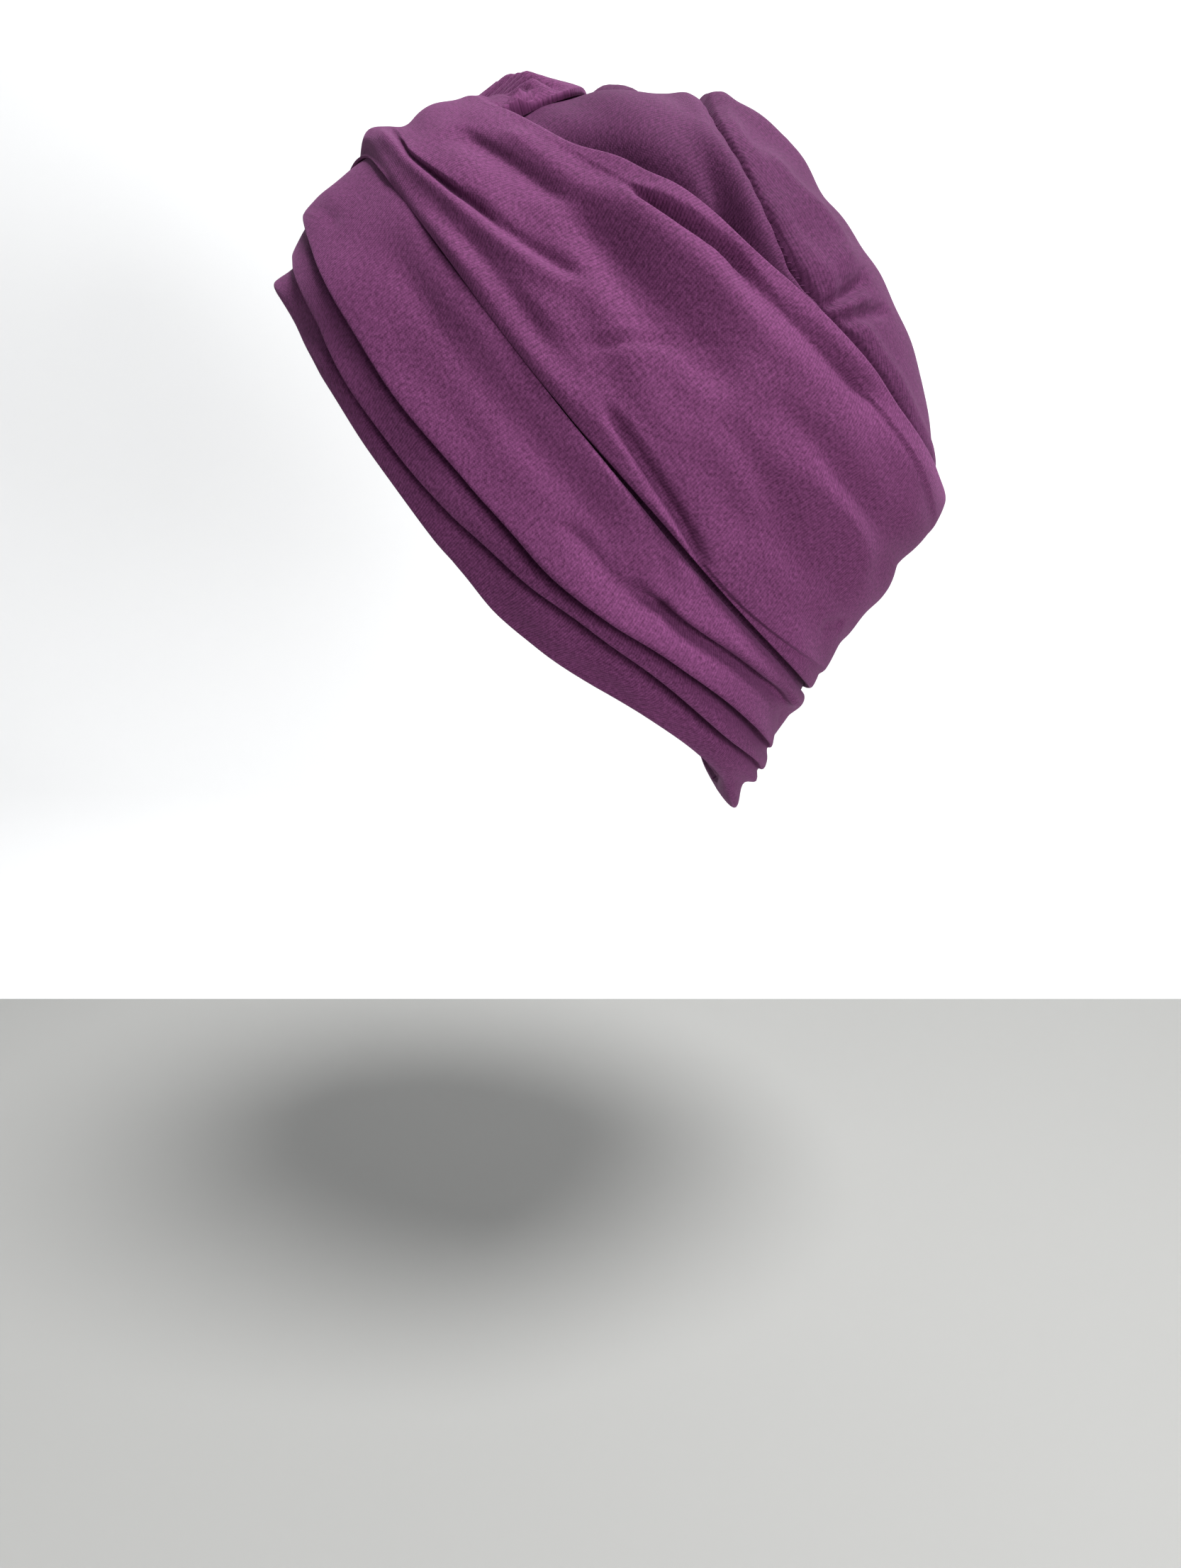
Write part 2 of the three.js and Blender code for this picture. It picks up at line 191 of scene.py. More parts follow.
def clothShell(name, outer, inner, uv, ring=False, flip=False):
    # closed cloth wall from an outer and an inner grid, with a map in metres of cloth
    rows, cols = outer.shape[:2]
    top = np.arange(rows * cols).reshape(rows, cols)
    if ring:
        top = np.concatenate([top, top[:, :1]], 1)
    under = top + rows * cols
    wide = top.shape[1]
    mapTop = np.arange(rows * wide).reshape(rows, wide)
    mapUnder = mapTop + rows * wide
    pairs = [(top, mapTop, flip), (under, mapUnder, not flip)]
    pairs += [(np.stack([under[0], top[0]]), np.stack([mapTop[0], mapTop[0]]), flip)]
    pairs += [(np.stack([top[-1], under[-1]]), np.stack([mapTop[-1], mapTop[-1]]), flip)]
    if not ring:
        pairs += [(np.stack([under[:, 0], top[:, 0]], 1), np.stack([mapTop[:, 0]] * 2, 1), flip)]
        pairs += [(np.stack([top[:, -1], under[:, -1]], 1), np.stack([mapTop[:, -1]] * 2, 1), flip)]
    faces = np.concatenate([gridFaces(g, f) for g, m, f in pairs])
    corners = np.concatenate([gridFaces(m, f) for g, m, f in pairs])
    uvAll = np.concatenate([uv.reshape(-1, 2), uv.reshape(-1, 2) + innerMapShift])
    points = np.concatenate([outer.reshape(-1, 3), inner.reshape(-1, 3)])
    mesh = bpy.data.meshes.new(name)
    mesh.from_pydata(points.tolist(), [], faces.tolist())
    layer = mesh.uv_layers.new(name="cloth")
    layer.data.foreach_set("uv", uvAll[corners.reshape(-1)].astype(np.float32).reshape(-1))
    mesh.polygons.foreach_set("use_smooth", np.ones(len(faces), bool))
    mesh.update()
    piece = bpy.data.objects.new(name, mesh)
    bpy.context.scene.collection.objects.link(piece)
    print(name, len(faces), "faces")
    return piece


def lengths(grid, axis):
    # running length along one axis of a grid of points
    step = np.linalg.norm(np.diff(grid, axis=axis), axis=-1)
    start = np.zeros_like(np.take(step, [0], axis))
    return np.concatenate([start, np.cumsum(step, axis)], axis)


class Shade:
    # a socket that can be used in sums; every expression adds its own Math node
    def __init__(self, tree, socket):
        self.tree, self.socket = tree, socket

    def node(self, kind, settings=None, **sockets):
        made = self.tree.nodes.new(kind)
        for name, value in (settings or {}).items():
            setattr(made, name, value)
        for name, value in sockets.items():
            spot = made.inputs[int(name[1:])] if name[1:].isdigit() else made.inputs[name.replace("_", " ")]
            if isinstance(value, Shade):
                self.tree.links.new(value.socket, spot)
            else:
                spot.default_value = value
        return made

    def out(self, made, which=0):
        return Shade(self.tree, made.outputs[which])

    def sum(self, operation, first, second=None):
        sockets = {"i0": first} if second is None else {"i0": first, "i1": second}
        return self.out(self.node("ShaderNodeMath", {"operation": operation}, **sockets))

    def __add__(self, other):
        return self.sum("ADD", self, other)

    def __radd__(self, other):
        return self.sum("ADD", other, self)

    def __sub__(self, other):
        return self.sum("SUBTRACT", self, other)

    def __rsub__(self, other):
        return self.sum("SUBTRACT", other, self)

    def __mul__(self, other):
        return self.sum("MULTIPLY", self, other)

    def __rmul__(self, other):
        return self.sum("MULTIPLY", other, self)

    def __truediv__(self, other):
        return self.sum("DIVIDE", self, other)

    def __rtruediv__(self, other):
        return self.sum("DIVIDE", other, self)

    def __pow__(self, other):
        return self.sum("POWER", self, other)

    def __abs__(self):
        return self.sum("ABSOLUTE", self)

    def wave(self):
        return self.sum("SINE", self * (2 * pi)) * 0.5 + 0.5

    def part(self):
        return self.sum("FRACT", self)

    def noise(self, spot, scale, detail, **more):
        made = self.node("ShaderNodeTexNoise", None, Vector=spot, Scale=scale, Detail=detail, **more)
        return self.out(made)

    def blend(self, start, end):
        mixed = self.node("ShaderNodeMix", {"data_type": "RGBA"}, i0=self, i6=start, i7=end)
        return self.out(mixed, 2)

    def surface(self, shader):
        end = self.node("ShaderNodeOutputMaterial")
        self.tree.links.new(shader.outputs[0], end.inputs["Surface"])


def newMaterial(name):
    material = bpy.data.materials.new(name)
    material.use_nodes = True
    material.node_tree.nodes.clear()
    return material, Shade(material.node_tree, None)


def jersey(name, finish):
    # fine knit: columns of small V stitches, with flecks of yarn, a soft mottle and painted shade in the
    # grooves between the loops
    material, pen = newMaterial(name)
    cloth = pen.out(pen.node("ShaderNodeUVMap", {"uv_map": "cloth"}))
    drift = pen.noise(cloth, scale=finish["driftScale"], detail=2.0)
    fleck = pen.noise(cloth, scale=finish["fleckScale"], detail=3.0, Roughness=0.75)
    shadeDrift = pen.noise(cloth, scale=finish["mottleScale"], detail=3.0)
    split = pen.node("ShaderNodeSeparateXYZ", None, Vector=cloth)
    along, across = pen.out(split, 0), pen.out(split, 1)
    column = along / finish["waleWidth"] + drift * finish["waleWander"]
    beside = abs(column.part() - 0.5)
    row = across / finish["stitchHeight"] + beside * finish["stitchSlant"]
    rib = 1 - beside * 2
    loops = rib ** finish["ribPower"] * (finish["loopFloor"] + row.wave() * finish["loopSwing"])
    depth = loops * finish["loopRelief"] + fleck * finish["fleckRelief"]
    # painted shade: the colour is darker in the grooves between the knit loops and lighter on their crowns;
    # the flecks and mottle are the yarn's own tone
    tone = loops * finish["paintedKnitShade"] + fleck * finish["fleck"] + shadeDrift * finish["mottle"]
    colour = (tone - finish["toneFloor"]).blend((*finish["deep"], 1), (*finish["lit"], 1))
    rough = finish["rough"] + fleck * finish["fleckRough"]
    grain = pen.out(pen.node(
        "ShaderNodeBump", None, Strength=finish["relief"], Distance=finish["yarnHeight"], Height=depth))
    shader = pen.node("ShaderNodeBsdfPrincipled", None, Base_Color=colour, Roughness=rough, Normal=grain)
    shader.inputs["Specular IOR Level"].default_value = finish["specular"]
    shader.inputs["Sheen Weight"].default_value = finish["sheen"]
    shader.inputs["Sheen Roughness"].default_value = finish["sheenRough"]
    shader.inputs["Sheen Tint"].default_value = (*finish["sheenTint"], 1)
    pen.surface(shader)
    return material


jerseyFinish = {
    "deep": (0.057, 0.0112, 0.044), "lit": (0.176, 0.047, 0.141),
    "sheenTint": (0.72, 0.3, 0.64), "sheen": 0.2, "sheenRough": 0.42, "specular": 0.12,
    "waleWidth": 0.00085, "stitchHeight": 0.00062, "waleWander": 0.9, "stitchSlant": 1.3,
    "driftScale": 55.0, "fleckScale": 900.0, "mottleScale": 26.0,
    "ribPower": 0.6, "loopFloor": 0.62, "loopSwing": 0.38, "loopRelief": 0.75, "fleckRelief": 0.5,
    # paintedKnitShade: how much darker the colour is painted in the grooves between the knit loops
    "paintedKnitShade": 0.4, "fleck": 2.2, "mottle": 0.4, "toneFloor": 1.09,
    "relief": 0.8, "yarnHeight": 0.00016, "rough": 0.7, "fleckRough": 0.22,
}
wrapCloth = jersey("wrap_jersey_plum", jerseyFinish)
crownCloth = jersey("crown_jersey_plum", {
    **jerseyFinish, "waleWidth": 0.0009, "deep": (0.04, 0.0076, 0.032), "lit": (0.122, 0.032, 0.098),
    "sheen": 0.12})
hemCloth = jersey("hem_jersey_plum", {**jerseyFinish, "lit": (0.19, 0.056, 0.15)})
print("jersey finishes made")

seamGroove = {
    "depth": 3.2, "reach": 1.0, "puffHeight": 1.3, "puffAt": 5.5, "puffReach": 3.6,
    "radius": 72, "puckerLength": 7.5, "puckerWander": 9, "puckerHeight": 0.16, "puckerReach": 4.0,
}


def seamLift(turn, away):
    # the cloth dips into the seam, puffs up beside it and puckers a little along it
    s = seamGroove
    wander = np.sin(np.radians(turn) * s["puckerWander"])
    pucker = np.sin(np.radians(turn) * s["radius"] * 2 * pi / s["puckerLength"] + wander)
    puff = s["puffHeight"] * bump(away - s["puffAt"], s["puffReach"])
    groove = s["depth"] * bump(away, s["reach"])
    return puff - groove + s["puckerHeight"] * pucker * bump(away, s["puckerReach"])


crownTop = {
    "steps": 181, "wall": 0.9, "crowd": 0.3, "crowdPower": 2.5,
    "lie": 0.14, "lieRadius": 75, "lieSeed": 3, "longWave": (40, 90), "shortWave": (14, 30),
    "mapRadius": 0.078, "mapCentre": 0.1,
    "folds": [    # path of (turn, rise), height, width
        (((104, 38.4), (106, 43.0), (108, 49.0), (110, 56.0)), -2.4, 2.2),
        (((108, 39.2), (112, 44.0), (117, 50.0), (124, 56.0)), -2.2, 2.4),
        (((106, 39.0), (109, 45.0), (113, 52.0)), 1.2, 2.0),
        (((100, 42.0), (101, 48.0), (101, 57.0)), 1.0, 4.0),
        (((60, 51.0), (75, 53.0), (90, 55.0), (106, 57.0)), 1.2, 4.5),
        (((20, 48.0), (36, 54.0), (44, 59.0), (56, 64.0), (80, 70.0)), 3.2, 8.0),
        (((-20, 48.0), (-36, 54.0), (-44, 59.0), (-56, 64.0), (-80, 70.0)), 3.2, 8.0),
        (((62, 47.5), (80, 46.5), (96, 46.0)), -0.9, 3.5),
        (((-105, 40.6), (-107, 46.0), (-110, 55.0)), -1.4, 2.2),
        (((-60, 51.0), (-75, 53.0), (-90, 55.0), (-106, 57.0)), 1.6, 4.5),
        (((160, 40.0), (165, 50.0), (175, 58.0)), -0.9, 3.0)],
}


def makeCrownTop(spec):
    a, b = np.meshgrid(np.linspace(-1, 1, spec["steps"]), np.linspace(-1, 1, spec["steps"]))
    u, v = a * np.sqrt(1 - b * b / 2), b * np.sqrt(1 - a * a / 2)
    out = np.clip(np.hypot(u, v), 1e-6, 1)
    share = spec["crowd"]                                             # closer rows beside the seam
    crowd = ((1 - share) * out + share * (1 - (1 - out) ** spec["crowdPower"])) / out
    u, v = u * crowd, v * crowd
    turn = np.degrees(np.arctan2(u, -v))
    rise = 90 - np.clip(np.hypot(u, v), 0, 1) * (90 - seamRise(turn) - jointGap)
    lift = humpLift(turn, rise) + wrinkleLift(turn, rise, spec["folds"])
    size = spec["lieRadius"]
    lie = spec["lie"] * ripples(u * size, v * size, spec["lieSeed"], spec["longWave"], spec["shortWave"])
    lift += seamLift(turn, arcBetween(turn, rise, seamRise(turn))) + lie
    outer, inner = pointAt(turn, rise, lift), pointAt(turn, rise, lift - spec["wall"])
    uv = np.stack([u, v], -1) * spec["mapRadius"] + spec["mapCentre"]
    return clothShell("crown_top_cloth", outer, inner, uv)


crownSide = {
    "around": 420, "up": 64, "upPower": 1.5, "wall": 0.9, "mapLength": 0.52,
    "turnedIn": (0.4, 1.4, 2.6),      # rows under the top panel, degrees past the seam
    "turnedGap": 0.6,
    "lie": 0.2, "lieRadius": 80, "lieUp": 1.7, "lieSeed": 5, "lieWaves": (7, 3), "lieFrom": (5, 20),
    "folds": [
        (((36, 17.0), (50, 22.0), (62, 26.5), (72, 30.5), (82, 33.0), (92, 35.4), (102, 37.4)), -11.0, 6.5),
        # the fold across the crown
        (((-34, 44.0), (-18, 40.4), (0, 39.0), (14, 40.0), (24, 42.0), (30, 43.4)), 5.2, 6.0),
        (((72, 33.6), (80, 32.6), (88, 34.2)), -4.5, 2.6),
        (((80, 34.4), (88, 35.6), (96, 36.6), (102, 37.6)), -5.0, 2.4),
        (((62, 37.4), (72, 37.0), (80, 35.8), (88, 35.6)), -3.0, 3.0),
        (((52, 42.5), (62, 39.8), (72, 39.6), (82, 38.2), (96, 36.8)), 2.0, 3.6),
        (((-36, 17.0), (-50, 22.0), (-62, 26.5), (-72, 30.5), (-82, 33.0), (-92, 35.4), (-102, 37.4)),
         -9.0, 6.5),
        (((-66, 39.0), (-74, 36.5), (-82, 35.0), (-92, 36.5)), -2.4, 3.2)],
}


def makeCrownSide(spec):
    turn = np.linspace(0, 360, spec["around"], endpoint=False)[None, :] - 180
    up = np.linspace(0, 1, spec["up"])[:, None]
    low = rimRise(turn) + hatForm["hemDepth"] + jointGap
    high = seamRise(turn) - jointGap
    rise = low + (high - low) * (1 - (1 - up) ** spec["upPower"])
    turn = turn + 0 * rise
    lift = humpLift(turn, rise) + wrinkleLift(turn, rise, spec["folds"])
    lift += seamLift(turn, arcBetween(turn, seamRise(turn), rise))
    longWave = [2 * pi * spec["lieRadius"] / waves for waves in spec["lieWaves"]]    # most and fewest around
    lie = ripples(np.radians(turn) * spec["lieRadius"], rise * spec["lieUp"], spec["lieSeed"], longWave)
    lift += spec["lie"] * lie * ease(rise, *spec["lieFrom"])
    ringTurn, ringSeam = turn[:1], seamRise(turn[:1])
    past = ringSeam + np.array(spec["turnedIn"])[:, None]
    under = humpLift(ringTurn, past) + wrinkleLift(ringTurn + 0 * past, past, crownTop["folds"])
    under += seamLift(ringTurn, arcBetween(ringTurn, past, ringSeam)) - crownTop["wall"] - spec["turnedGap"]
    turn = np.concatenate([turn, ringTurn + 0 * past])
    rise = np.concatenate([rise, past])
    lift = np.concatenate([lift, under])
    outer, inner = pointAt(turn, rise, lift), pointAt(turn, rise, lift - spec["wall"])
    across = lengths(outer, 0)
    across = np.concatenate([across, across[:, :1]], 1)
    along = np.broadcast_to(np.linspace(0, spec["mapLength"], spec["around"] + 1), across.shape)
    return clothShell("crown_side_cloth", outer, inner, np.stack([along, across], -1), ring=True)


hemBand = {
    "around": 420, "up": 22, "upPower": 1.4, "wall": 1.5, "roll": 1.6, "mapLength": 0.56,
    "waves": 90, "waveHeight": 0.12,
}


def makeHem(spec):
    turn = np.linspace(0, 360, spec["around"], endpoint=False)[None, :] - 180
    up = np.linspace(0, 1, spec["up"])[:, None] ** spec["upPower"]
    low = rimRise(turn)
    high = low + hatForm["hemDepth"] - jointGap
    rise = low + (high - low) * up
    turn = turn + 0 * rise
    away = arcBetween(turn, rise, low)
    turned = 1 - np.sqrt(1 - (1 - np.clip(away / spec["roll"], 0, 1)) ** 2)     # rounded at the rim
    lift = -0.5 * spec["wall"] * turned + spec["waveHeight"] * np.sin(np.radians(turn) * spec["waves"])
    outer = pointAt(turn, rise, lift)
    inner = pointAt(turn, rise, -spec["wall"] + 0.5 * spec["wall"] * turned)
    across = lengths(outer, 0)
    across = np.concatenate([across, across[:, :1]], 1)
    along = np.broadcast_to(np.linspace(0, spec["mapLength"], spec["around"] + 1), across.shape)
    return clothShell("hem_band_cloth", outer, inner, np.stack([along, across], -1), ring=True)


# Wrap sections, in the order that each wrap runs: turns are positive on its first side, which comes
# from the centre back, and negative on its second side. Edges and two folds as rises, then stand-offs
# in millimetres.
wrapColumns = ("turn", "lower", "low", "high", "upper", "lift", "lowStep", "highStep")
upperRun = [
    (180, -2.6, 3.0, 31.0, 35.5, 2.0, 0.6, 0.3), (166, -3.1, 1.6, 32.0, 37.0, 4.4, 1.2, 0.6),
    (150, -4.4, -0.6, 32.0, 36.4, 3.6, 1.4, 0.6), (130, -6.6, -5.0, 32.6, 36.2, 3.0, 1.8, 0.8),
    (120, -7.4, -6.2, 33.4, 36.8, 3.0, 1.2, 1.0), (110, -7.9, -6.9, 32.8, 36.8, 3.0, 0.6, 0.3),
    (100, -8.4, -7.2, 31.8, 35.9, 3.0, 0.3, 0.4), (90, -8.7, -6.0, 31.4, 34.4, 3.1, 0.1, 0.6),
    (84, -8.5, -4.0, 30.2, 32.6, 3.2, 0.0, 2.2), (78, -8.25, -2.0, 27.6, 31.0, 3.4, 0.0, 2.8),
    (71, -7.7, 1.0, 25.0, 28.8, 3.6, 0.0, 2.2), (65, -7.1, 3.0, 22.9, 26.8, 3.8, 0.1, 0.5),
    (60, -6.45, 3.6, 21.6, 25.0, 4.0, 0.3, 0.6), (52, -5.4, 3.9, 19.4, 21.2, 4.3, 0.7, 0.3),
    (45, -4.55, 3.2, 17.0, 19.6, 4.6, 1.9, 0.0), (36, -3.5, 2.4, 14.5, 18.2, 5.0, 2.2, 0.0),
    (31, -2.9, 2.7, 12.6, 17.2, 5.2, 1.5, 0.0)]
lowerRun = [
    (-45, -32.5, -26.8, -20.9, -4.3, 2.9, 2.6, 2.8), (-63, -36.8, -31.1, -24.8, -6.8, 2.9, 2.6, 2.8),
    (-84, -40.0, -32.6, -26.6, -8.7, 2.9, 2.8, 3.0), (-95, -40.2, -31.6, -26.4, -9.0, 2.9, 3.0, 3.4),
    (-105, -40.0, -29.8, -25.4, -9.0, 3.0, 4.2, 4.4), (-116, -37.2, -26.0, -22.0, -8.8, 3.2, 5.0, 5.2),
    (-126, -32.9, -22.2, -18.0, -8.1, 3.4, 5.4, 5.8), (-136, -27.6, -19.4, -15.2, -7.1, 3.6, 5.2, 5.6),
    (-146, -24.2, -17.6, -13.8, -5.9, 3.6, 4.8, 4.8), (-157, -22.8, -16.2, -13.2, -5.0, 3.2, 4.2, 3.6),
    (-168, -23.8, -15.6, -12.8, -4.2, 2.6, 3.2, 1.4), (-180, -24.2, -15.6, -12.6, -3.6, 1.6, 1.4, 0.6)]
overCrossing = [
    (22, -2.4, 3.4, 11.0, 16.8, 5.8, 0.3, 0.0), (14, -5.0, 1.6, 9.0, 14.4, 5.4, 0.3, 0.4),
    (0, -12.2, -6.0, 0.5, 6.5, 4.0, 3.0, 2.6), (-14, -22.6, -18.0, -10.0, 0.6, 3.0, 2.4, 2.4),
    (-31, -28.5, -22.4, -17.2, -2.6, 3.2, 2.6, 2.8), (-38, -30.5, -24.5, -19.1, -3.6, 3.0, 2.6, 2.8)]
underCrossing = [
    (18, -9.0, 6.0, 20.0, 36.0, 4.4, 0.4, 1.0), (9, -20.0, -5.0, 15.0, 36.0, 3.4, 0.4, 0.6),
    (0, -25.0, -13.0, 9.0, 36.0, 2.8, 0.4, 0.6), (-12, -25.4, -18.4, -11.0, 36.4, 3.0, 1.8, 1.6),
    (-19, -26.0, -19.2, -13.8, 35.0, 3.3, 2.4, 2.4), (-24, -26.8, -20.2, -15.2, 33.0, 3.4, 2.5, 2.7),
    (-27.5, -27.6, -21.3, -16.2, 30.0, 3.4, 2.6, 2.8), (-31, -28.5, -22.4, -17.2, 22.0, 3.2, 2.6, 2.8),
    (-36, -30.0, -23.9, -18.6, 6.0, 3.0, 2.6, 2.8), (-41, -31.3, -25.4, -19.9, -2.4, 2.9, 2.6, 2.8)]
gatheredEdge = {78: 31.4, 71: 31.0, 65: 31.0, 60: 31.2, 52: 32.4, 45: 33.5, 36: 35.2, 31: 36.0}

# How the two folds lean over what lies below them and undercut it, how round the edges roll, in millimetres,
# and the share of the height that is kept at the very edge
edgeColumns = (
    "turn", "lowLean", "highLean", "lowCut", "highCut", "lowerRoll", "upperRoll", "lowerKeep", "upperKeep")
wrapEdges = [
    (180, 0.2, 0.2, 0.4, 0.2, 5.0, 2.5, 0.1, 0.3), (168, 0.2, 0.2, 0.4, 0.2, 5.0, 2.5, 0.1, 0.3),
    (150, 1.2, 0.3, 0.4, 0.3, 1.6, 2.5, 0.7, 0.3),
    (126, 0.8, 0.3, 0.3, 0.4, 1.0, 1.4, 0.85, 0.6), (110, 0.5, 0.5, 0.0, 0.6, 1.2, 1.2, 0.8, 0.8),
    (95, 0.3, 0.8, 0.0, 0.8, 1.6, 1.4, 0.5, 0.7), (86, 0.2, 0.6, 0.0, 3.4, 3.0, 1.8, 0.6, 0.3),
    (78, 0.2, 0.6, 0.0, 5.6, 3.2, 1.8, 0.6, 0.3), (71, 0.2, 0.6, 0.0, 4.6, 3.5, 1.8, 0.6, 0.3),
    (64, 0.3, 0.6, 0.1, 0.4, 3.5, 2.0, 0.6, 0.25),
    (48, 1.2, 0.2, 1.8, 0.1, 3.0, 2.2, 0.55, 0.25), (38, 1.2, 0.2, 1.8, 0.1, 2.6, 2.4, 0.5, 0.25),
    (30, 0.5, 0.2, 0.8, 0.1, 3.2, 2.4, 0.4, 0.3), (18, 0.2, 0.2, 0.0, 0.0, 4.4, 3.0, 0.3, 0.4),
    (0, 1.6, 0.6, 1.0, 0.6, 1.6, 2.4, 0.3, 0.3), (-14, 1.2, 0.6, 0.8, 0.6, 2.6, 2.0, 0.35, 0.3),
    (-22, 1.0, 0.7, 0.8, 0.7, 2.6, 1.4, 0.4, 0.5),
    (-31, 0.8, 0.8, 0.8, 0.8, 1.5, 0.8, 0.8, 0.7), (-50, 1.2, 1.2, 1.4, 1.4, 1.5, 0.8, 0.8, 0.75),
    (-75, 1.4, 1.4, 3.0, 3.0, 1.5, 0.8, 0.8, 0.75), (-95, 1.2, 1.2, 4.0, 4.6, 1.5, 1.0, 0.8, 0.7),
    (-112, 1.0, 1.0, 5.6, 6.0, 1.8, 3.0, 0.75, 0.2), (-130, 1.0, 1.0, 6.0, 6.4, 2.2, 3.6, 0.65, 0.1),
    (-150, 0.8, 0.8, 5.4, 5.6, 3.4, 4.0, 0.5, 0.15), (-160, 0.3, 0.3, 3.6, 3.6, 4.6, 4.6, 0.3, 0.2),
    (-168, 0.0, 0.0, 2.4, 1.6, 5.5, 5.0, 0.25, 0.2), (-180, 0.0, 0.0, 1.0, 1.0, 5.0, 4.0, 0.25, 0.3)]

# Softer folds that run along a wrap: from and to turn, five rises on the way, height, reach below,
# reach above, lean
wrapFolds = [
    (-170, -100, (-19.4, -20.2, -23.9, -31.0, -36.0), 1.8, 4.0, 4.0, 0.0),   # roll of the lowest pleat
    (22, 54, (1.2, 1.1, 0.9, 0.8, 0.7), 2.0, 2.4, 1.6, 0.0),               # roll inside the lip
    (46, 74, (0.8, 1.1, 1.9, 3.6, 5.8), 1.8, 2.8, 2.2, 0.0),               # ridge that it runs into
    (46, 74, (2.9, 3.2, 4.1, 6.3, 9.0), -1.8, 1.6, 2.0, 0.0),
    (50, 78, (-1.6, -1.7, -2.1, -2.6, -3.2), -1.0, 2.4, 2.2, 0.0),
    (40, 100, (-3.0, -4.4, -5.6, -6.2, -6.8), 1.0, 3.2, 3.0, 0.0),         # strip along the crease
    (34, 62, (8.8, 10.2, 11.6, 12.8, 14.2), -2.4, 5.0, 1.8, 0.0),          # soft valley up to the roll
    (40, 68, (13.5, 14.8, 15.8, 17.0, 18.6), 1.2, 2.2, 4.0, 0.0),
    (56, 106, (12.0, 13.8, 14.8, 15.6, 16.4), -3.6, 6.0, 4.5, 0.0),        # broad valley
    (58, 116, (18.6, 21.4, 23.6, 25.2, 26.2), 2.4, 4.5, 4.5, 0.0),
    (82, 128, (27.6, 30.0, 31.6, 32.6, 33.4), -2.2, 3.4, 2.6, 0.0),        # valley under the upper roll
    (88, 123, (-3.0, -3.7, -4.6, -5.6, -6.8), -5.0, 1.5, 1.7, 0.0),        # valley above the low roll
    (116, 152, (16.0, 16.4, 16.6, 16.5, 16.4), 1.1, 4.0, 3.5, 0.0),
    (98, 154, (10.6, 10.0, 9.4, 9.0, 9.0), -1.7, 5.0, 4.0, 0.0),
    (104, 146, (19.2, 20.2, 21.2, 21.4, 21.2), -1.6, 3.5, 3.0, 0.0),
    (138, 176, (22.0, 23.0, 24.0, 24.0, 24.0), -1.7, 5.0, 4.0, 0.0),
    (-40, -116, (-10.6, -13.8, -16.0, -16.4, -13.6), -1.3, 3.6, 4.4, 0.0),  # soft valley in the lower panel
    (-54, -84, (-21.2, -21.8, -22.2, -22.4, -22.2), -0.6, 3.0, 3.6, 0.0),
    (-98, -122, (-20.8, -20.2, -19.8, -19.0, -17.0), -1.4, 1.6, 2.2, 0.0),
    (-112, -158, (-18.8, -15.2, -11.4, -9.2, -7.2), -5.6, 1.8, 2.0, 0.0),  # fold toward the nape
    (-114, -166, (-16.0, -12.4, -9.2, -7.4, -5.6), 1.8, 1.8, 3.6, 0.8)]

foldForm = {          # how a pleat stands, in millimetres and degrees
    "below": 0.6, "belowLean": 0.5, "belowLimits": (0.9, 1.5), "above": 9.0,
    "napeBelow": 1.8, "napeFrom": (148, 166),
    "cutStep": 1.5, "cutGap": 0.12, "cutAt": 0.2, "cutLean": 0.3, "cutReach": 0.7,
    "slideStep": 2.5, "slideBelow": 1.3, "slideAbove": 4.0,
    "softEnd": 0.22, "softSlide": 0.8,
}
wrapMesh = {
    "sections": 400, "overSteps": (22, 56, 36), "underSteps": (26, 26, 62),
    "endTurn": 179.88, "crowd": 0.35, "stepCrowd": 0.65, "gatherCrowd": 1.35,
    "wall": 0.8, "lie": 0.3, "lieRadius": 95, "lieEdge": 4,
}
gathers = {
    "turn": 1, "reach": 25, "height": 7.4, "ridge": 4.8, "pitch": 4.2, "fan": 0.3, "ridges": (4, -31),
    "ridgePower": 0.8, "ridgeFade": 6, "ridgePast": (6, 4), "peakRound": 3, "leastSpan": 3,
    "footTaper": (2, 0.8), "endTaper": (1.9, 1.1),       # steepness, power
    "flatten": 0.85, "flattenShare": 0.2, "flattenTurn": (6, 16),
    # turn, rise
    "foot": [(-36, 19.5), (-22, 18.5), (-14, 15.5), (0, 8.5), (10, 12), (20, 18), (40, 10), (60, 0)],
}
napeSwell = [         # where the cloth stands off more or less: turn, rise, reach around, reach up, height
    (168, 5, 16, 7, -3.4), (-163, -11.8, 18, 4.6, -6.8), (-168, -15.2, 14, 1.6, 1.8),
    (-168, -17.9, 14, 1.6, 5.2), (-171, -22.6, 9, 1.9, 7.5), (-180, -22.6, 6, 1.9, 6.0)]
overSwell = napeSwell + [
    (19, 0.6, 11, 3.0, 5.6), (20, 5.2, 9, 1.8, -1.2), (20, 10.5, 8, 4, 2.2), (78, 23.4, 14, 5, 2.2)]
underSwell = napeSwell + [(-19, -8.0, 8, 7, 3.0), (-18, -25.5, 9, 3.2, 4.2), (78, 23.4, 14, 5, 2.2)]
hiddenEdge = {"turn": -22, "reach": 9, "lift": 0.7}      # off the cap where the under wrap's edge is hidden
crossPad = {"turn": 44, "turnFade": 11, "rise": 9, "gap": 0.6, "soften": 0.3, "settle": 0.05}


def wrapTable(firstRun, crossing, swell):
    rows = firstRun + crossing + lowerRun
    table = {}
    for k, column in enumerate(wrapColumns[1:], 1):
        table[column] = ([r[0] for r in rows], [r[k] for r in rows])
    for k, column in enumerate(edgeColumns[1:], 1):
        table[column] = ([r[0] for r in wrapEdges], [r[k] for r in wrapEdges])
    table["swell"] = swell
    return table


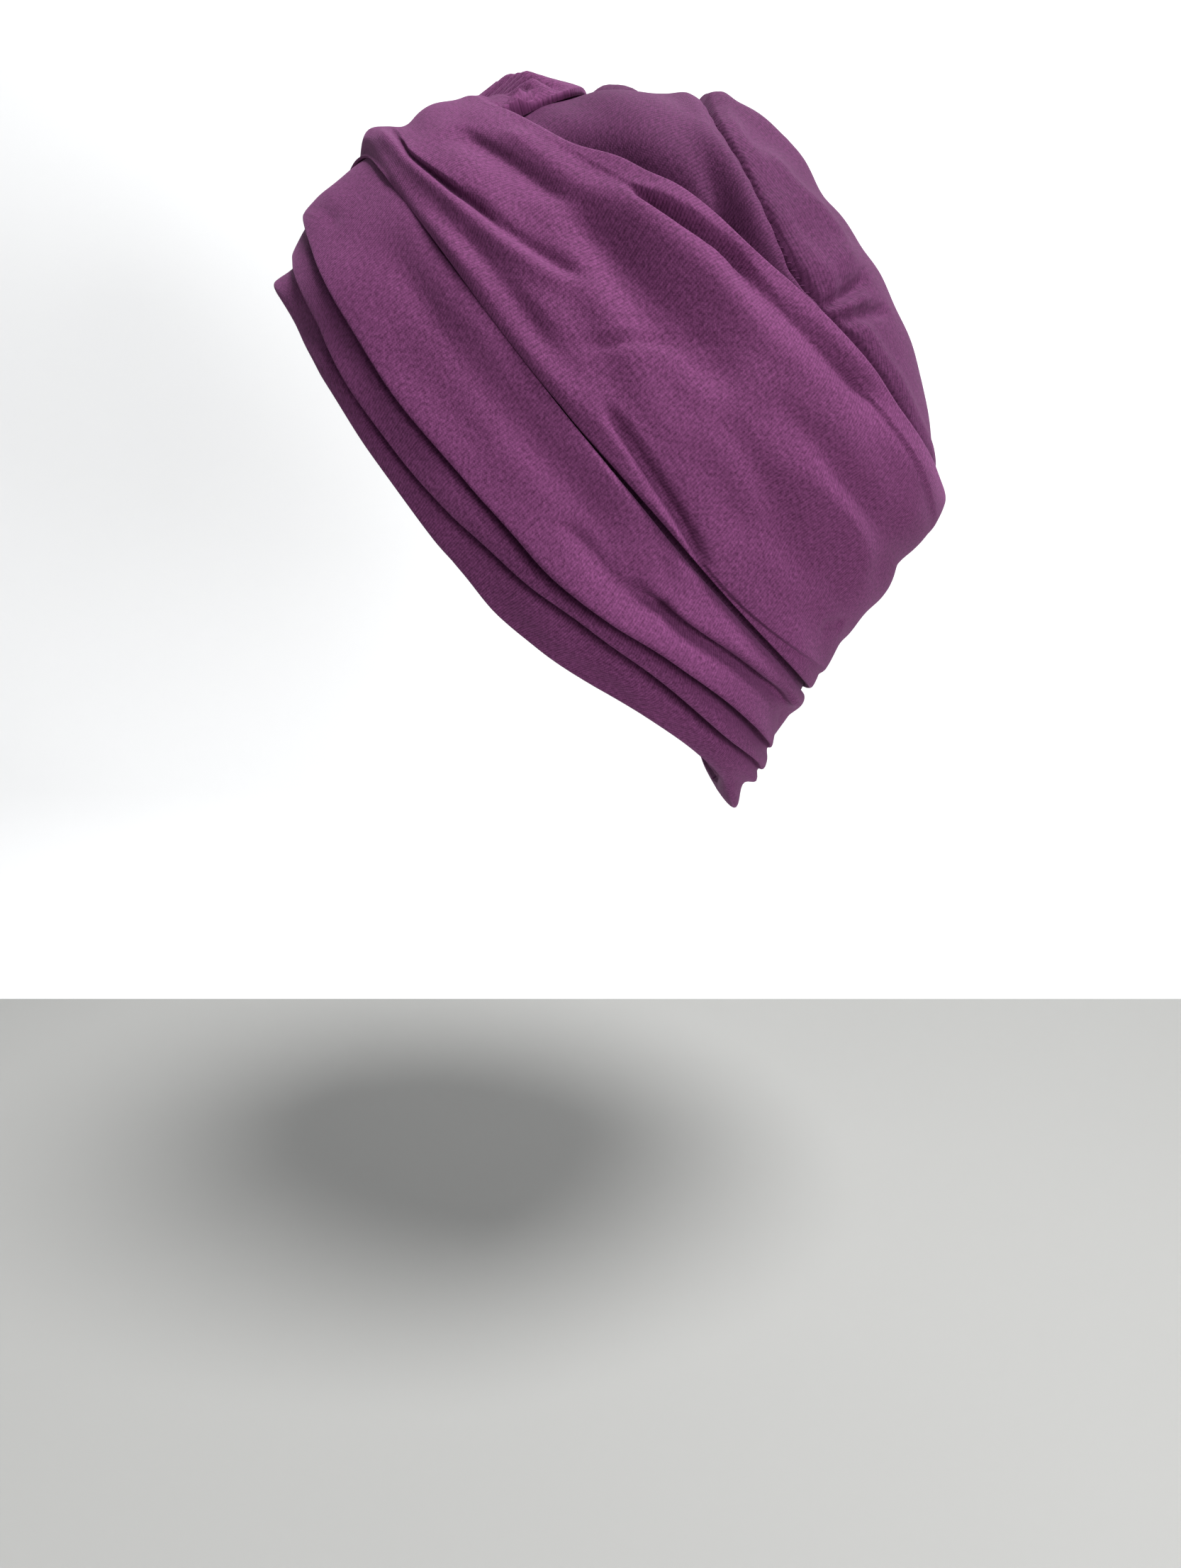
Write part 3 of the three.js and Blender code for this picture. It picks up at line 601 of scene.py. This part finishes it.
gatheredRun = [r[:4] + (gatheredEdge.get(r[0], r[4]),) + r[5:] for r in upperRun]
overTable = wrapTable(upperRun, overCrossing, overSwell)
underTable = wrapTable(gatheredRun, underCrossing, underSwell)


def sectionAt(table, turn):
    section = {column: smoothAt(*values, turn) for column, values in table.items() if column != "swell"}
    section["swell"] = table["swell"]
    return section


def roll(away, reach):
    # height share of a rounded edge, 0 at the edge and 1 past its roll
    return np.sqrt(1 - (1 - np.clip(away / reach, 0, 1)) ** 2)


def foldAt(away, below, above):
    return np.where(away > 0, bump(away, above), bump(away, below))


def gatherRelief(section, turn, rise, lift):
    # ridges that fan out above the crossing, over a heap of cloth
    g = gathers
    foot = np.maximum(section["high"], rowsAt(g["foot"], turn))
    share = np.clip((rise - foot) / np.maximum(section["upper"] - foot, g["leastSpan"]), 0, 1)
    beside = (turn - g["turn"]) / (g["pitch"] * (1 - g["fan"] * (0.5 - share)))
    footSteep, footPower = g["footTaper"]
    endSteep, endPower = g["endTaper"]
    taper = np.clip(share * footSteep, 0, 1) ** footPower * np.clip((1 - share) * endSteep, 0, 1) ** endPower
    peak = np.sqrt((turn - g["turn"]) ** 2 + g["peakRound"] ** 2) - g["peakRound"]
    heap = np.clip(1 - peak / g["reach"], 0, 1)
    first, last = g["ridges"]
    pastFirst, pastLast = g["ridgePast"]
    ridge = np.abs(np.sin(pi * beside)) ** g["ridgePower"]
    ridge = ridge * ease(first + pastFirst - turn, 0, g["ridgeFade"])
    ridge = ridge * ease(turn - last + pastLast, 0, g["ridgeFade"])
    lift = lift * (1 - g["flatten"] * ease(share, 0, g["flattenShare"]) * ease(-turn, *g["flattenTurn"]))
    lift = lift + (g["height"] * heap + g["ridge"] * ridge) * taper
    return lift + hiddenEdge["lift"] * bump(turn - hiddenEdge["turn"], hiddenEdge["reach"])


def wrapRelief(section, turn, rise, gathered):
    # stand-off of the outer face from the bare cap, and how far the cloth slides down over itself
    f = foldForm
    radius = capRadius(turn, rise)

    def away(other):
        return np.radians(rise - other) * radius

    lowEdge = roll(away(section["lower"]), section["lowerRoll"])
    highEdge = roll(-away(section["upper"]), section["upperRoll"])
    edge = section["lowerKeep"] + (1 - section["lowerKeep"]) * lowEdge
    edge = edge * (section["upperKeep"] + (1 - section["upperKeep"]) * highEdge)
    lift = section["lift"] * edge
    slide = 0 * lift
    nape = f["napeBelow"] * ease(np.abs(turn), *f["napeFrom"])      # folds are rounder at the nape
    for fold in ("low", "high"):
        d = away(section[fold])
        step, lean, deep = section[fold + "Step"], section[fold + "Lean"], section[fold + "Cut"]
        below = np.clip(f["below"] + f["belowLean"] * lean, *f["belowLimits"]) + nape
        lift = lift + step * edge * foldAt(d, below, f["above"])
        cut = deep * edge * np.clip(step / f["cutStep"], 0, 1)
        gap = f["cutGap"] * deep
        cutPlace = d + below + f["cutAt"] + f["cutLean"] * lean + gap
        lift = lift - cut * bump(cutPlace, f["cutReach"] + f["cutLean"] * lean + gap)
        leaning = lean * np.clip(step / f["slideStep"], 0, 1)
        slide = slide + leaning * foldAt(d, f["slideBelow"], f["slideAbove"])
    for start, stop, rises, height, below, above, lean in wrapFolds:
        places = np.linspace(start, stop, len(rises))
        d = away(smoothAt(places, rises, turn))
        share = (turn - start) / (stop - start)
        fade = ease(share, 0, f["softEnd"]) * ease(1 - share, 0, f["softEnd"]) * edge
        lift = lift + height * fade * foldAt(d, below, above)
        slide = slide + lean * fade * foldAt(d, below * f["softSlide"], above)
    for swellTurn, swellRise, around, upward, height in section["swell"]:
        lift = lift + height * edge * bump(turn - swellTurn, around) * bump(rise - swellRise, upward)
    if gathered:
        lift = gatherRelief(section, turn, rise, lift)
    lift = lift + np.maximum(humpLift(turn, rise), 0) + hatForm["clearance"]
    return np.maximum(lift, hatForm["clearance"]), slide


def underHeight(turn, rise):
    # height of the under wrap where the over wrap passes above it
    section = sectionAt(underTable, -turn)
    outside = np.maximum(np.maximum(section["lower"] - rise, rise - section["upper"]), 0)
    top = wrapRelief(section, -turn, np.clip(rise, section["lower"], section["upper"]), True)[0]
    near = ease(crossPad["rise"] - outside, 0, crossPad["rise"])
    beside = ease(crossPad["turn"] - np.abs(turn), 0, crossPad["turnFade"])
    return (top + wrapMesh["wall"] + crossPad["gap"]) * near * beside


def makeWrap(name, table, side, over, wrinkles, seed):
    spec = wrapMesh
    turn = np.linspace(1, -1, spec["sections"])[:, None]
    turn = spec["endTurn"] * ((1 - spec["crowd"]) * turn + spec["crowd"] * turn ** 3)
    section = sectionAt(table, turn)
    stops = [section[k] for k in ("lower", "low", "high", "upper")]
    columns = []
    for part, steps in enumerate(spec["overSteps" if over else "underSteps"]):
        t = np.linspace(0, 1, steps + 1)[(1 if part else 0):]
        crowd = spec["stepCrowd"]                                             # crowded at both ends
        t = crowd * (1 - np.cos(pi * t)) / 2 + (1 - crowd) * t
        if part == 2 and not over:
            t = 1 - (1 - t) ** spec["gatherCrowd"]                            # and more in the gathers
        columns.append(stops[part] + (stops[part + 1] - stops[part]) * t)
    rise = np.concatenate(columns, 1)
    turn = turn + 0 * rise
    lift, slide = wrapRelief(section, turn, rise, not over)
    pad = 0 * lift
    if over:
        pad = underHeight(turn, rise)
        # the higher of the two, with a soft join
        lift = 0.5 * (lift + pad + np.sqrt((lift - pad) ** 2 + crossPad["soften"])) - crossPad["settle"]
    arc = np.radians(rise) * meanRadius
    edge = roll(arcBetween(turn, rise, section["lower"]), spec["lieEdge"])
    edge = edge * roll(arcBetween(turn, section["upper"], rise), spec["lieEdge"])
    lie = ripples(np.radians(turn) * spec["lieRadius"], arc, seed) * spec["lie"]
    lie = lie + wrinkleLift(side * turn, rise, wrinkles)
    lift = np.maximum(lift + lie * edge, np.maximum(pad, hatForm["clearance"]))
    leaned = rise - np.degrees(slide / capRadius(turn, rise))
    outer = pointAt(side * turn, leaned, lift + spec["wall"])
    # the inner face stays close to what lies below, so the piece is thicker under its folds
    inner = pointAt(side * turn, rise, np.maximum(pad, hatForm["clearance"]))
    middle = outer[:, outer.shape[1] // 2:outer.shape[1] // 2 + 1]
    along = lengths(middle, 0) + 0 * rise
    uv = np.stack([along, lengths(outer, 1)], -1)
    return clothShell(name, outer, inner, uv, flip=side < 0)


leftWrinkles = [      # on the wrap that shows its upper run
    (((77, -3.0), (83, 4.9), (87, 10.2), (91, 14.9), (97, 21.6)), -1.7, 1.5),
    (((76, 2.0), (82, 8.0), (88, 16.0)), -0.4, 4.0),
    (((147, 3.1), (151, 5.5), (156, 7.8)), -1.8, 2.2),
    (((98, 4.0), (108, 8.0), (120, 10.0)), 0.7, 5.0),
    (((112, -1.0), (126, 5.0), (138, 9.0)), -0.8, 5.0),
    (((120, 18.0), (134, 22.0), (150, 24.0)), -0.9, 5.0)]
rightWrinkles = [     # on the wrap that shows its lower run
    (((115, -10.0), (117.5, -12.1), (120, -14.7), (122.5, -17.0)), -1.1, 1.8),
    (((17, -12.0), (26, -12.4), (33, -13.0)), -1.0, 2.0),
    (((58, -10.8), (74, -12.9), (90, -13.7)), -0.5, 3.5)]

crownTopCloth = makeCrownTop(crownTop)
crownSideCloth = makeCrownSide(crownSide)
hemCloth3d = makeHem(hemBand)
leftWrap = makeWrap("wrap_left_cloth", overTable, side=1, over=True, wrinkles=leftWrinkles, seed=11)
rightWrap = makeWrap("wrap_right_cloth", underTable, side=-1, over=False, wrinkles=rightWrinkles, seed=12)

seamThread = {
    "pitch": 2.3, "length": 2.1, "thick": 0.21, "endThick": 0.45, "slant": 52, "lift": -1.5, "arch": 0.35,
    "radiusUp": 95, "radiusAround": 72, "trackSteps": 721, "sides": 6, "rings": 5,
}


def makeStitches(spec):
    # slanted stitches that show along the crown seam
    loop = np.linspace(-180, 180, spec["trackSteps"])
    track = pointAt(loop, seamRise(loop), np.zeros(spec["trackSteps"]))
    run = lengths(track[:, None], 0)[:, 0] / mm
    count = int(run[-1] / spec["pitch"])
    turns = np.interp(np.arange(count) * run[-1] / count, run, loop)
    sides, rings = spec["sides"], spec["rings"]
    t = np.linspace(-1, 1, rings)
    arch = spec["lift"] + spec["arch"] * (1 - t * t)
    halfUp = np.degrees(spec["length"] / 2 * sin(radians(spec["slant"])) / spec["radiusUp"])
    halfOn = np.degrees(spec["length"] / 2 * cos(radians(spec["slant"])) / spec["radiusAround"])
    verts, faces = [], []
    for turn in turns:
        rise = seamRise(turn)
        spine = pointAt(turn + halfOn * t, rise + halfUp * t, arch + humpLift(turn, rise))
        axis = Vector(spine[-1] - spine[0]).normalized()
        foot, above = pointAt(np.array([turn, turn]), np.array([rise, rise]), np.array([0.0, 5.0]))
        out = Vector(above - foot).normalized()
        aside = axis.cross(out).normalized()
        start = len(verts)
        for k, spot in enumerate(spine):
            size = spec["thick"] * mm * (spec["endThick"] if k in (0, rings - 1) else 1)
            for j in range(sides):
                turnBy = 2 * pi * j / sides
                verts.append(Vector(spot) + (out * cos(turnBy) + aside * sin(turnBy)) * size)
        for k in range(rings - 1):
            for j in range(sides):
                a, b = start + k * sides + j, start + k * sides + (j + 1) % sides
                faces.append((a, a + sides, b + sides, b))
        faces.append([start + j for j in range(sides)])
        faces.append([start + (rings - 1) * sides + j for j in reversed(range(sides))])
    mesh = bpy.data.meshes.new("seam_stitches")
    mesh.from_pydata(verts, [], faces)
    mesh.polygons.foreach_set("use_smooth", np.ones(len(faces), bool))
    piece = bpy.data.objects.new("seam_stitches", mesh)
    bpy.context.scene.collection.objects.link(piece)
    print("seam_stitches", count)
    return piece


threadLook = {
    "deep": (0.035, 0.008, 0.028), "lit": (0.08, 0.02, 0.064), "specular": 0.05,
    "twistScale": 2600.0, "rough": 0.55, "twistRough": 0.2,
}


def threadFinish(name, finish):
    material, pen = newMaterial(name)
    spot = pen.out(pen.node("ShaderNodeTexCoord"), "Object")
    twist = pen.noise(spot, scale=finish["twistScale"], detail=1.0)
    colour = twist.blend((*finish["deep"], 1), (*finish["lit"], 1))
    rough = finish["rough"] + twist * finish["twistRough"]
    shader = pen.node("ShaderNodeBsdfPrincipled", None, Base_Color=colour, Roughness=rough)
    shader.inputs["Specular IOR Level"].default_value = finish["specular"]
    pen.surface(shader)
    return material


stitches = makeStitches(seamThread)
thread = threadFinish("seam_thread_plum", threadLook)

for piece, cloth, node, slotName in (
        (crownTopCloth, crownCloth, "crown_top", "crown_jersey"),
        (crownSideCloth, crownCloth, "crown_side", "crown_jersey"),
        (hemCloth3d, hemCloth, "hem_band", "hem_jersey"),
        (leftWrap, wrapCloth, "wrap_left", "wrap_jersey"),
        (rightWrap, wrapCloth, "wrap_right", "wrap_jersey")):
    piece.data.materials.append(cloth)
    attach(piece, "root")
    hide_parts(node)
stitches.data.materials.append(thread)
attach(stitches, "root")

print("pieces placed")

studio = {
    "floorHeight": -0.285, "floorReach": 4.0, "wallAt": -0.42, "wallTop": 3.5, "curve": 0.12,
    "floorColour": (0.35, 0.35, 0.34), "wallColour": (0.77, 0.775, 0.78), "mottle": 0.03,
    "skyColour": (0.93, 0.96, 1.0), "skyStrength": 0.17,
    # lamps: place, aim, size, watts
    "key": ((0.42, 0.34, 1.15), (0.0, 0.02, 0.03), 0.52, 28.0),
    "fill": ((0.75, 0.6, -0.2), (0.0, 0.05, 0.0), 0.5, 10.0),
    "bounce": ((0.3, -0.75, -0.3), (0.0, -0.03, 0.0), 0.5, 3.0),
}


def matte(name, colour, mottle):
    material, pen = newMaterial(name)
    spot = pen.out(pen.node("ShaderNodeTexCoord"), "Object")
    cloud = pen.noise(spot, scale=3.0, detail=4.0)
    darker = [c * (1 - mottle) for c in colour]
    lighter = [min(1, c * (1 + mottle)) for c in colour]
    shade = cloud.blend((*darker, 1), (*lighter, 1))
    shader = pen.node("ShaderNodeBsdfPrincipled", None, Base_Color=shade, Roughness=0.9)
    pen.surface(shader)
    return material


def makeStage(spec):
    z, x, curve, reach = spec["floorHeight"], spec["wallAt"], spec["curve"], spec["floorReach"]
    spots = [(reach, z), (x + curve, z)]
    for angle in range(10, 91, 10):
        a = radians(angle)
        spots.append((x + curve - curve * sin(a), z + curve - curve * cos(a)))
    spots.append((x, spec["wallTop"]))
    for name, colour, part in (("floor", "floorColour", spots[:2]), ("backdrop", "wallColour", spots[1:])):
        verts = [(a, y, b) for y in (-reach, reach) for a, b in part]
        n = len(part)
        faces = [(k, k + 1, n + k + 1, n + k) for k in range(n - 1)]
        mesh = bpy.data.meshes.new(name)
        mesh.from_pydata(verts, [], faces)
        mesh.polygons.foreach_set("use_smooth", np.ones(len(faces), bool))
        mesh.materials.append(matte(name + "_matt", spec[colour], spec["mottle"]))
        piece = bpy.data.objects.new(name, mesh)
        bpy.context.scene.collection.objects.link(piece)
    world = bpy.data.worlds.new("studio")
    bpy.context.scene.world = world
    world.use_nodes = True
    sky = world.node_tree.nodes["Background"]
    sky.inputs[0].default_value = (*spec["skyColour"], 1)
    sky.inputs[1].default_value = spec["skyStrength"]
    for name in ("key", "fill", "bounce"):
        place, aim, size, watts = spec[name]
        lamp = bpy.data.lights.new(name, "AREA")
        lamp.shape, lamp.size, lamp.energy = "DISK", size, watts
        lampObject = bpy.data.objects.new(name, lamp)
        lampObject.location = place
        lampObject.rotation_euler = (Vector(aim) - Vector(place)).to_track_quat("-Z", "Y").to_euler()
        bpy.context.scene.collection.objects.link(lampObject)


makeStage(studio)

viewCamera = {
    "eye": (0.36915, 0.02856, -0.01993), "pitch": 10.0, "lens": 24.005, "sensor": 36.0, "clipStart": 0.01}
lensData = bpy.data.cameras.new("photo_view")
lensData.sensor_fit = "VERTICAL"
lensData.sensor_height = viewCamera["sensor"]
lensData.lens = viewCamera["lens"]
lensData.clip_start = viewCamera["clipStart"]
eye = bpy.data.objects.new("photo_view", lensData)
pitch = radians(viewCamera["pitch"])
eye.matrix_world = Matrix.Translation(viewCamera["eye"]) @ Matrix((
    (0, -sin(pitch), cos(pitch), 0), (1, 0, 0, 0), (0, cos(pitch), sin(pitch), 0), (0, 0, 0, 1)))
bpy.context.scene.collection.objects.link(eye)
bpy.context.scene.camera = eye
bpy.context.scene.view_settings.view_transform = "Standard"
print("studio and camera set")
